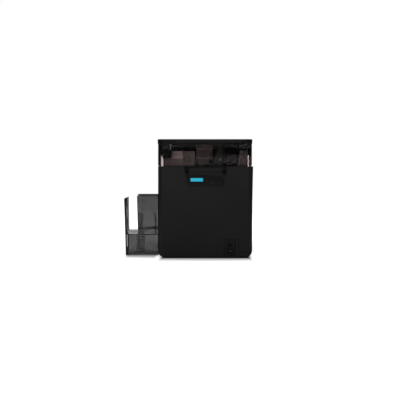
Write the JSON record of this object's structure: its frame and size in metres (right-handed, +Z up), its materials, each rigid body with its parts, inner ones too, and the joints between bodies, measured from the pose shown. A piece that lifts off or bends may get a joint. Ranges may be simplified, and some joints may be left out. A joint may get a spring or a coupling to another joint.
{
  "type": "id card printer",
  "caption": "Desktop card printer with a smoked hinged top cover over the print mechanism, a hinged front door with display and keys, and a clear card hopper at its side.",
  "frame": {"origin": "on the desk, at the centre of the four rubber feet, under the middle of the body", "axes": "+X to the right as seen from the front, +Y to the rear, so the front faces -Y, +Z up"},
  "size_m": [0.3938, 0.3832, 0.356],
  "materials": {
    "shell_plastic": "fine satin texture",
    "cover_plastic": "satin",
    "smoked_window": "clear smoked",
    "smoked_hopper": "clear smoked",
    "gloss_panel": "polished",
    "lcd_face": "lit display",
    "key_plastic": "satin",
    "switch_plastic": "satin",
    "foot_rubber": "matte",
    "zinc_sheet": "zinc plated",
    "frame_sheet": "zinc plated",
    "bright_steel": "ground",
    "bush_brass": "turned",
    "inner_plastic": "matte",
    "film_plastic": "matte",
    "ribbon_plastic": "matte",
    "spool_plastic": "satin",
    "ribbon_roll": "wound ribbon",
    "roller_rubber": "matte",
    "cleaning_rubber": "tacky",
    "heat_rubber": "silicone",
    "head_metal": "anodised",
    "circuit_board": "solder mask",
    "motor_metal": "black",
    "belt_rubber": "matte",
    "psu_metal": "sheet",
    "screw_steel": "black oxide"
  },
  "bodies": {
    "chassis": {"base_pan": "zinc_sheet", "rubber_feet": "foot_rubber", "side_panel_left": "shell_plastic", "side_panel_right": "shell_plastic", "rear_panel": "shell_plastic", "rear_top_cap": "cover_plastic", "front_plinth": "shell_plastic", "side_plate_left": "zinc_sheet", "side_plate_right": "zinc_sheet", "mechanism_plate": "frame_sheet", "shaft_bushes": "bush_brass", "power_supply": "psu_metal", "main_board": "circuit_board", "fan_frame": "inner_plastic", "power_inlet": "switch_plastic", "card_guide_rails": "inner_plastic", "film_cassette_frame": "film_plastic", "ribbon_cassette_frame": "ribbon_plastic", "head_duct": "inner_plastic", "head_pivot_shaft": "bright_steel", "drive_motors": "motor_metal", "transport_belt": "belt_rubber", "hopper_shell": "smoked_hopper", "hopper_shelf": "smoked_hopper", "hopper_bracket": "inner_plastic", "door_hinge_arms": "zinc_sheet", "hinge_pins": "bright_steel", "door_magnet": "motor_metal", "switch_body": "switch_plastic", "frame_screws": "screw_steel"},
    "door": {"front_door": "shell_plastic", "door_grip": "shell_plastic", "display_bezel": "gloss_panel", "lcd_screen": "lcd_face", "display_board": "circuit_board"},
    "top_cover": {"cover_window": "smoked_window", "cover_cap": "cover_plastic", "cover_blocks": "inner_plastic"},
    "flipper": {"flipper_frame": "film_plastic"},
    "fan_rotor": {"fan_rotor": "inner_plastic"},
    "feed_roller": {"feed_roller": "roller_rubber"},
    "cleaning_roller": {"cleaning_roller": "cleaning_rubber"},
    "transport_roller": {"transport_roller": "roller_rubber"},
    "nip_roller": {"nip_roller": "roller_rubber"},
    "pressure_roller": {"pressure_roller": "roller_rubber"},
    "heat_roller": {"heat_roller": "heat_rubber"},
    "platen_roller": {"platen_roller": "roller_rubber"},
    "peel_roller": {"peel_roller": "bright_steel"},
    "film_supply_spool": {"film_supply_spool": "spool_plastic"},
    "film_takeup_spool": {"film_takeup_spool": "spool_plastic"},
    "ribbon_supply_spool": {"ribbon_supply_spool": "ribbon_roll"},
    "ribbon_takeup_spool": {"ribbon_takeup_spool": "ribbon_roll"},
    "ribbon_pinion": {"ribbon_pinion": "bush_brass"},
    "flipper_roller_upper": {"flipper_roller_upper": "roller_rubber"},
    "flipper_roller_lower": {"flipper_roller_lower": "roller_rubber"},
    "print_head": {"print_head": "head_metal"},
    "power_rocker": {"power_rocker": "switch_plastic"},
    "key_left": {"key_left": "key_plastic"},
    "key_middle": {"key_middle": "key_plastic"},
    "key_right": {"key_right": "key_plastic"}
  },
  "joints": [
    {"name": "door_hinge", "type": "hinge", "parent": "chassis", "child": "door", "pos_m": [-0.134, -0.177, 0.138], "axis": [0, 0, -1], "range_deg": [0, 100]},
    {"name": "cover_hinge", "type": "hinge", "parent": "chassis", "child": "top_cover", "pos_m": [0, 0.042, 0.346], "axis": [-1, 0, 0], "range_deg": [0, 75]},
    {"name": "key_left_press", "type": "slide", "parent": "door", "child": "key_left", "axis": [0, 1, 0], "range_m": [0, 0.0008], "stiffness_N_per_m": 900},
    {"name": "key_middle_press", "type": "slide", "parent": "door", "child": "key_middle", "axis": [0, 1, 0], "range_m": [0, 0.0008], "stiffness_N_per_m": 900},
    {"name": "key_right_press", "type": "slide", "parent": "door", "child": "key_right", "axis": [0, 1, 0], "range_m": [0, 0.0008], "stiffness_N_per_m": 900},
    {"name": "power_rocker_tilt", "type": "hinge", "parent": "chassis", "child": "power_rocker", "pos_m": [0.0765, -0.181, 0.026], "axis": [-1, 0, 0], "range_deg": [0, 14]},
    {"name": "feed_roller_spin", "type": "hinge", "parent": "chassis", "child": "feed_roller", "pos_m": [-0.112, -0.115, 0.0756], "axis": [0, 1, 0], "continuous": true},
    {"name": "cleaning_roller_spin", "type": "hinge", "parent": "chassis", "child": "cleaning_roller", "pos_m": [-0.112, -0.115, 0.0924], "axis": [0, 1, 0], "continuous": true},
    {"name": "transport_roller_spin", "type": "hinge", "parent": "chassis", "child": "transport_roller", "pos_m": [-0.062, -0.115, 0.0756], "axis": [0, 1, 0], "continuous": true},
    {"name": "nip_roller_spin", "type": "hinge", "parent": "chassis", "child": "nip_roller", "pos_m": [-0.062, -0.115, 0.0924], "axis": [0, 1, 0], "continuous": true},
    {"name": "pressure_roller_spin", "type": "hinge", "parent": "chassis", "child": "pressure_roller", "pos_m": [-0.008, -0.115, 0.0756], "axis": [0, 1, 0], "continuous": true},
    {"name": "heat_roller_spin", "type": "hinge", "parent": "chassis", "child": "heat_roller", "pos_m": [-0.008, -0.115, 0.0984], "axis": [0, 1, 0], "continuous": true},
    {"name": "platen_roller_spin", "type": "hinge", "parent": "chassis", "child": "platen_roller", "pos_m": [-0.008, -0.115, 0.262], "axis": [0, 1, 0], "continuous": true},
    {"name": "peel_roller_spin", "type": "hinge", "parent": "chassis", "child": "peel_roller", "pos_m": [0.046, -0.115, 0.295], "axis": [0, 1, 0], "continuous": true},
    {"name": "film_supply_spool_spin", "type": "hinge", "parent": "chassis", "child": "film_supply_spool", "pos_m": [-0.072, -0.115, 0.195], "axis": [0, 1, 0], "continuous": true},
    {"name": "film_takeup_spool_spin", "type": "hinge", "parent": "chassis", "child": "film_takeup_spool", "pos_m": [0.072, -0.115, 0.195], "axis": [0, 1, 0], "continuous": true},
    {"name": "ribbon_supply_spool_spin", "type": "hinge", "parent": "chassis", "child": "ribbon_supply_spool", "pos_m": [-0.054, -0.115, 0.295], "axis": [0, 1, 0], "continuous": true},
    {"name": "ribbon_takeup_spool_spin", "type": "hinge", "parent": "chassis", "child": "ribbon_takeup_spool", "pos_m": [0.084, -0.115, 0.295], "axis": [0, 1, 0], "continuous": true},
    {"name": "ribbon_pinion_spin", "type": "hinge", "parent": "chassis", "child": "ribbon_pinion", "pos_m": [0.084, -0.115, 0.26785], "axis": [0, 1, 0], "continuous": true},
    {"name": "fan_spin", "type": "hinge", "parent": "chassis", "child": "fan_rotor", "pos_m": [0.06, 0.175, 0.22], "axis": [0, 1, 0], "continuous": true},
    {"name": "flipper_turn", "type": "hinge", "parent": "chassis", "child": "flipper", "pos_m": [0.082, -0.115, 0.084], "axis": [0, 1, 0], "continuous": true},
    {"name": "flipper_roller_upper_spin", "type": "hinge", "parent": "flipper", "child": "flipper_roller_upper", "pos_m": [0.082, -0.115, 0.0914], "axis": [0, 1, 0], "continuous": true},
    {"name": "flipper_roller_lower_spin", "type": "hinge", "parent": "flipper", "child": "flipper_roller_lower", "pos_m": [0.082, -0.115, 0.0766], "axis": [0, 1, 0], "continuous": true},
    {"name": "print_head_lift", "type": "hinge", "parent": "chassis", "child": "print_head", "pos_m": [0.017, -0.115, 0.332], "axis": [0, 1, 0], "range_deg": [0, 8]}
  ],
  "couplings": [
    {"joint": "feed_roller_spin", "follows": "pressure_roller_spin", "ratio": 1},
    {"joint": "transport_roller_spin", "follows": "pressure_roller_spin", "ratio": 1},
    {"joint": "heat_roller_spin", "follows": "pressure_roller_spin", "ratio": -0.57143},
    {"joint": "ribbon_pinion_spin", "follows": "ribbon_takeup_spool_spin", "ratio": -2.8571},
    {"joint": "flipper_roller_upper_spin", "follows": "flipper_roller_lower_spin", "ratio": -1}
  ]
}
